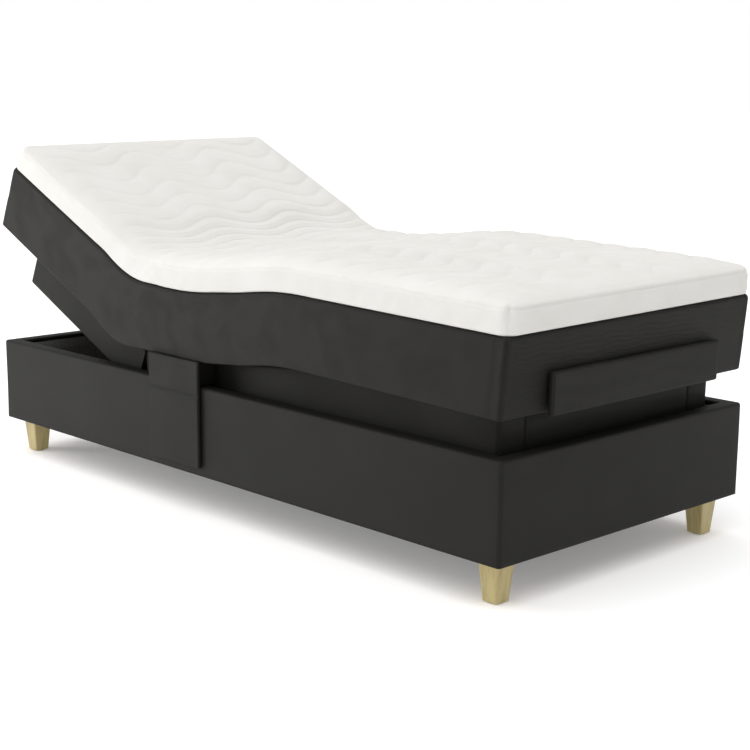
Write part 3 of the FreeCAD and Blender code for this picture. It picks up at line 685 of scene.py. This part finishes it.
def shape_topper(points, outward):
    """A soft quilted pad: a crowned panel of pillows between wavy rows, with a seam round its edge."""
    x, y, z = points.T
    low, top = TOPPER_Z
    phase = quilt_phase(x, y)
    distance = np.abs(phase - np.round(phase)) * ROW_LENGTH
    up = smooth(outward[:, 2])
    in_x = np.maximum(HALF_WIDTH - UNSEWN_EDGE - np.abs(x), 0.0)
    in_y = np.maximum(np.minimum(y - FOOT_Y, HEAD_Y + PROUD - y) - UNSEWN_EDGE, 0.0)
    panel = (1.0 - np.exp(-in_x / CROWN_REACH)) * (1.0 - np.exp(-in_y / CROWN_REACH))
    sewn = smooth(in_x / SEWN_REACH) * smooth(in_y / SEWN_REACH)
    firm = 0.45 + 0.55 * smooth(0.5 + 0.8 * noise_at(points, 4.0, 7.0))
    quilt = QUILT_RISE * np.cos(2.0 * math.pi * (phase + 0.5)) - STITCH_DEPTH * bell(distance, STITCH_WIDTH)
    creases = CREASE_DEPTH * bell(y - 0.43, 0.11) * np.cos(4.0 * math.pi * phase)
    push = up * (CROWN * panel + sewn * (firm * quilt + creases + 0.0014 * noise_at(points, 13.0, 3.0)))
    end = smooth((np.abs(outward[:, 1]) - 0.2) / 0.7)
    edge = smooth((np.hypot(outward[:, 0], outward[:, 1]) - 0.7) / 0.25)
    seam = (0.0010 + 0.0020 * end) * bell(z - (top - 0.014), 0.0030)
    push += edge * (0.0016 * noise_at(points, 22.0, 9.0) - seam)
    moved = points + outward * push[:, None]
    moved[:, 1] += foot_lean(y, z)
    moved[:, 2] += settling(x, y) + TOPPER_GAP
    return moved


def pose_soft(points, flat_y):
    """Puts a whole layer's points in the stored pose, each by the section it lies in while flat."""
    out = points.copy()
    for _, limits, pose, _ in SECTIONS:
        here = (flat_y >= limits[0]) & (flat_y <= limits[1])
        out[here] = pose(points[here])
    return out


def attach_section(piece, section):
    """Bakes a mattress or topper section's placement into its mesh, the head the same as the others."""
    if section == "head":
        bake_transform(piece)
        return
    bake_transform(piece)


def set_normals(piece, normals, is_cut):
    """Shades the outside with the whole layer's normals, so that the cuts don't show."""
    mesh = piece.data
    corners = []
    for polygon, cut in zip(mesh.polygons, is_cut):
        for vertex in polygon.vertices:
            corners.append(tuple(polygon.normal) if cut else tuple(normals[vertex]))
    mesh.normals_split_custom_set(corners)


def soft_layer(layer, z_range, step, radius, shape, material):
    """Builds the mattress or the topper as one lattice, cut into four closed pieces."""
    low = (-HALF_WIDTH, FOOT_Y, z_range[0])
    high = (HALF_WIDTH, HEAD_Y + PROUD, z_range[1])
    lines = block_lines(low, high, step, radius)
    lines[1] = with_lines(lines[1], CUTS)
    size = [len(line) for line in lines]

    def shaped(flat):
        return shape(*rounded(flat, low, high, radius))

    quads, _ = block_faces(size, (0, size[1] - 1))
    places, faces = indexed(quads)
    flat = lattice_points(places, lines)
    smoothed = vertex_normals(pose_soft(shaped(flat), flat[:, 1]), faces)
    normal_at = dict(zip(places, smoothed))
    for section, limits, pose, node in SECTIONS:
        rows = [min(range(size[1]), key=lambda j: abs(lines[1][j] - limit)) for limit in limits]
        quads, is_cut = block_faces(size, rows)
        places, faces = indexed(quads)
        posed = pose(shaped(lattice_points(places, lines)))
        piece = make_object(layer + "_" + section, posed, faces, material)
        set_normals(piece, [normal_at.get(place, (0.0, 0.0, 1.0)) for place in places], is_cut)
        attach_section(piece, section)
        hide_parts(layer + "_" + node)


# ---------------------------------------------------------------- upholstered frames

def soften(points, amount, seed):
    """The slight unevenness of cloth over padding."""
    out = points.copy()
    out[:, 0] += amount * noise_at(points, 11.0, seed)
    out[:, 1] += amount * noise_at(points, 12.0, seed + 4.0)
    return out


def plinth_upholstery():
    """The cloth round the plinth's outside, over its rim and a little way down the inside."""
    low, high = PLINTH_LOW.z, PLINTH_HIGH.z
    rim = 0.042
    edge = 0.007
    inner_edge = 0.006
    hem = high - 0.012
    outer = [(0.0, z) for z in np.linspace(low + 0.004, high - edge, 26)]
    over = arc_points((edge, high - edge), edge, 180.0, 90.0, 7)[1:]
    down = arc_points((rim - inner_edge, high - inner_edge), inner_edge, 90.0, 0.0, 5)
    inner = [(rim, high - 0.009), (rim, hem)]
    back = [(rim - CLOTH, hem), (rim - CLOTH, high - CLOTH), (CLOTH, high - CLOTH), (CLOTH, low + 0.002)]
    profile = outer + over + down + inner + back
    points, faces = swept_wall(profile, HALF_WIDTH, FOOT_Y, HEAD_Y, PLINTH_CORNER, True)
    faces = [face[::-1] for face in faces]
    points = soften(points, 0.0006, 1.0)
    piece = make_object("plinth_upholstery", points, faces, CHARCOAL)
    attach(piece, "base")
    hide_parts("plinth_cover")


def plinth_lining():
    """The cloth on the inside of the plinth, below the rim, in a grey lighter than the cover: painted fill light
    on the shaded inside.
    """
    near, far = 0.0418, 0.0390
    top = PLINTH_HIGH.z - 0.0124
    rows = np.linspace(top, PLINTH_LOW.z + 0.0002, 8)
    profile = [(near, z) for z in rows] + [(far, z) for z in rows[::-1]]
    points, faces = swept_wall(profile, HALF_WIDTH, FOOT_Y, HEAD_Y, PLINTH_CORNER, True)
    piece = make_object("plinth_lining", soften(points, 0.0002, 2.0), [f[::-1] for f in faces], GREY_CLOTH_PAINTED_FILL)
    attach(piece, "base")


def skirt_profile():
    """The cloth over a frame board, as (inset, z) points: down the outside, under it and up the inside."""
    low, high = FRAME_Z
    edge = 0.006
    board = 0.0225
    hem = low + 0.03
    outer = [(0.0, z) for z in np.linspace(high, low + edge, 14)]
    under = arc_points((edge, low + edge), edge, 180.0, 270.0, 5)[1:]
    turned_in = [(board + CLOTH, low), (board + CLOTH, hem), (board, hem)]
    return outer + under + turned_in + [(board, low + CLOTH), (CLOTH, low + CLOTH), (CLOTH, high)]


def nosed(points, pivot, outward, reach):
    """Rounds off a skirt's front end above its pivot, so that it turns clear of the seat."""
    out = points.copy()
    ahead = (out[:, 1] - pivot[1]) * outward
    low, high = FRAME_Z
    top = pivot[2] + np.sqrt(np.maximum(reach ** 2 - ahead ** 2, 0.0))
    share = np.where(ahead < 0.0, (np.minimum(top, high) - low) / (high - low), 1.0)
    out[:, 2] = low + (out[:, 2] - low) * share
    return out


def board_ends(pivot, outward, first):
    """Cloth strips over the round-topped ends of the two side boards; vertex numbers start at first."""
    inner, outer = 0.0184, 0.0214
    bow = [(-math.cos(a), math.sin(a)) for a in np.radians(np.linspace(48.0, 0.0, 7))]
    points = []
    faces = []
    for side in (-1.0, 1.0):
        edges = (side * (FRAME_HALF - 0.0262), side * (FRAME_HALF - 0.0006))
        rungs = []
        for across, up in bow:
            rungs.append([(across * r, pivot[2] + up * r) for r in (inner, outer)])
        for z in np.linspace(pivot[2], FRAME_Z[0] + 0.001, 8)[1:]:
            rungs.append([(-inner, z), (-outer, z)])
        base = first + len(points)
        for near, far in rungs:
            for x, (ahead, z) in ((edges[0], near), (edges[1], near), (edges[1], far), (edges[0], far)):
                points.append((x, pivot[1] + outward * ahead, z))
        strip = []
        for n in range(len(rungs) - 1):
            for i in range(4):
                j = (i + 1) % 4
                a = base + 4 * n
                strip.append([a + i, a + j, a + 4 + j, a + 4 + i])
        last = base + 4 * (len(rungs) - 1)
        strip.append([base + 3, base + 2, base + 1, base])
        strip.append([last, last + 1, last + 2, last + 3])
        faces += strip if side * outward > 0 else [face[::-1] for face in strip]
    return np.array(points), faces


def flat_reach(node):
    """How far along the flat bed a node of the back section reaches."""
    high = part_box(node)[1]
    drop = FRAME_Z[0] - BACK_PIVOT[2]
    reach = (high.y - BACK_PIVOT[1] + drop * math.sin(BACK_ANGLE)) / math.cos(BACK_ANGLE)
    return BACK_PIVOT[1] + reach


def back_skirt():
    """The cloth round the back frame."""
    low_y = BACK_PIVOT[1] - NOSE_REACH
    high_y = flat_reach("back_cover")
    points, faces = swept_wall(skirt_profile(), FRAME_HALF, low_y, high_y, SKIRT_CORNER, False)
    points = soften(points, 0.0004, 3.0)
    points[:, 1] = low_y + high_y - points[:, 1]
    points = nosed(points, BACK_PIVOT, 1.0, NOSE_REACH)
    ends, end_faces = board_ends(BACK_PIVOT, 1.0, len(points))
    flat = np.concatenate([points, ends])
    posed = turn(flat, BACK_PIVOT, np.full(len(flat), BACK_ANGLE))
    piece = make_object("back_frame_upholstery", posed, [f[::-1] for f in faces] + end_faces, CHARCOAL)
    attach(piece, "back_section")
    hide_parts("back_cover")


def leg_skirt():
    """The cloth round the thigh and leg frames, with two upright seams across its foot end."""
    seam = 0.303
    seam_depth = 0.0046
    steps = (-0.006, -0.003, -0.001, 0.001, 0.003, 0.006)
    marks = [side * seam + step for side in (-1.0, 1.0) for step in steps]
    low_y = -0.930
    high_y = THIGH_PIVOT[1] + NOSE_REACH
    points, faces = swept_wall(skirt_profile(), FRAME_HALF, low_y, high_y, SKIRT_CORNER, False, marks)
    points = soften(points, 0.0004, 6.0)
    at_foot = points[:, 1] < low_y + 0.0015
    points[:, 1] += seam_depth * bell(np.abs(points[:, 0]) - seam, 0.0026) * at_foot
    points = nosed(points, THIGH_PIVOT, -1.0, NOSE_REACH)
    ends, end_faces = board_ends(THIGH_PIVOT, -1.0, len(points))
    posed = pose_leg(np.concatenate([points, ends]), SKIRT_BEND)
    piece = make_object("leg_frame_upholstery", posed, faces + end_faces, CHARCOAL)
    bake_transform(piece)
    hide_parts("thigh_cover", "leg_cover")


def anchor_flaps():
    """The padded panels that cover the seat frame's side anchors."""
    low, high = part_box("anchor_covers")
    crease = PLINTH_HIGH.z - 0.022
    for side, name in ((-1.0, "left"), (1.0, "right")):
        x = sorted((side * (HALF_WIDTH + 0.0010), side * high.x))
        start = (x[0], low.y, low.z)
        end = (x[1], high.y, high.z + 0.003)
        points, outward, quads = rounded_block(start, end, (0.004, 0.006, 0.003), 0.0035)
        push = -0.0028 * bell(points[:, 2] - crease, 0.0035)
        push += 0.0007 * noise_at(points, 14.0, 8.0)
        facing = np.clip(outward[:, 0] * side, 0.0, 1.0)
        points = points + outward * (push * facing)[:, None]
        piece = make_object("anchor_flap_" + name, points, quads, CHARCOAL)
        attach(piece, "base")
        if side < 0:
            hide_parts("anchor_covers", "anchor_panels")


def retainer():
    """The padded stop that keeps the mattress from sliding off the foot end."""
    half = 0.310
    low = (-half, -1.010, 0.401)
    high = (half, -0.9915, 0.500)
    points, outward, quads = rounded_block(low, high, (0.01, 0.004, 0.006), 0.0065)
    crown = 0.0015 * (1.0 - (points[:, 0] / half) ** 4)
    points = points + outward * (0.0006 * noise_at(points, 18.0, 4.0))[:, None]
    points[:, 1] += crown * (outward[:, 1] > 0.5)
    raised = turn(points, KNEE_FLAT_PIVOT, np.full(len(points), KNEE_ANGLE))
    posed = turn(raised, THIGH_PIVOT, np.full(len(points), -THIGH_ANGLE))
    piece = make_object("foot_retainer", posed, quads, CHARCOAL)
    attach(piece, "leg_section")
    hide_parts("retainer_pad")


# ---------------------------------------------------------------- studio

def studio():
    """A white floor, an even white surround, an overhead sun and a low softbox behind the head end."""
    mesh = bpy.data.meshes.new("floor")
    reach = 30.0
    corners = [(-reach, -reach, 0), (reach, -reach, 0), (reach, reach, 0), (-reach, reach, 0)]
    mesh.from_pydata(corners, [], [(0, 1, 2, 3)])
    nodes = Nodes("studio_floor", 0.9)
    nodes.colour(nodes.ramp(nodes.noise(0.5), [(0.0, (0.90, 0.90, 0.90)), (1.0, (0.91, 0.91, 0.91))]))
    nodes.shader.inputs["Specular IOR Level"].default_value = 0.0
    nodes.shader.inputs["Emission Color"].default_value = (1.0, 1.0, 1.0, 1.0)
    nodes.shader.inputs["Emission Strength"].default_value = 0.17
    mesh.materials.append(nodes.material)
    floor = bpy.data.objects.new("studio_floor", mesh)
    bpy.context.scene.collection.objects.link(floor)
    world = bpy.data.worlds.new("studio_world")
    bpy.context.scene.world = world
    world.use_nodes = True
    tree = world.node_tree
    ambient = tree.nodes["Background"]
    ambient.inputs["Color"].default_value = (1.0, 1.0, 1.0, 1.0)
    ambient.inputs["Strength"].default_value = AMBIENT
    seen = tree.nodes.new("ShaderNodeBackground")
    seen.inputs["Color"].default_value = (1.0, 1.0, 1.0, 1.0)
    seen.inputs["Strength"].default_value = 1.0
    rays = tree.nodes.new("ShaderNodeLightPath")
    mix = tree.nodes.new("ShaderNodeMixShader")
    tree.links.new(rays.outputs["Is Camera Ray"], mix.inputs["Fac"])
    tree.links.new(ambient.outputs[0], mix.inputs[1])
    tree.links.new(seen.outputs[0], mix.inputs[2])
    tree.links.new(mix.outputs[0], tree.nodes["World Output"].inputs["Surface"])
    sun("overhead_sun", (-0.25, 0.0, 1.0), 2.35, 86.0)
    soft_light("head_softbox", (-2.9, 3.3, 0.75), (-0.3, 0.0, 0.4), 1.8, 60.0)
    bpy.context.scene.view_settings.view_transform = "Standard"


def sun(name, toward, strength, spread):
    light = bpy.data.lights.new(name, "SUN")
    light.energy = strength
    light.angle = math.radians(spread)
    lamp = bpy.data.objects.new(name, light)
    lamp.rotation_euler = Vector(toward).to_track_quat("Z", "Y").to_euler()
    bpy.context.scene.collection.objects.link(lamp)


def soft_light(name, place, target, size, power):
    light = bpy.data.lights.new(name, "AREA")
    light.energy = power
    light.size = size
    lamp = bpy.data.objects.new(name, light)
    lamp.location = place
    aim = Vector(target) - Vector(place)
    lamp.rotation_euler = aim.to_track_quat("-Z", "Y").to_euler()
    bpy.context.scene.collection.objects.link(lamp)


CAMERA_PLACE = (-2.8228, -3.0749, 1.1463)
CAMERA_HEADING = 46.16
CAMERA_PITCH = 11.18
CAMERA_ROLL = 0.46
CAMERA_LENS = 74.13
SENSOR = 36.0


def camera():
    heading = math.radians(CAMERA_HEADING)
    pitch = math.radians(CAMERA_PITCH)
    flat = math.cos(pitch)
    ahead = Vector((math.cos(heading) * flat, math.sin(heading) * flat, -math.sin(pitch)))
    data = bpy.data.cameras.new("camera")
    data.lens = CAMERA_LENS
    data.sensor_width = SENSOR
    data.clip_end = 200.0
    body = bpy.data.objects.new("camera", data)
    turned = ahead.to_track_quat("-Z", "Y").to_matrix().to_4x4()
    roll = Matrix.Rotation(math.radians(CAMERA_ROLL), 4, "Z")
    body.matrix_world = Matrix.Translation(CAMERA_PLACE) @ turned @ roll
    bpy.context.scene.collection.objects.link(body)
    bpy.context.scene.camera = body


dress_cad_nodes()
soft_layer("mattress", MATTRESS_Z, MATTRESS_STEP, MATTRESS_ROUND, shape_mattress, MATTRESS_CLOTH)
soft_layer("topper", TOPPER_Z, TOPPER_STEP, TOPPER_ROUND, shape_topper, TOPPER_CLOTH)
plinth_upholstery()
plinth_lining()
back_skirt()
leg_skirt()
anchor_flaps()
retainer()
studio()
camera()
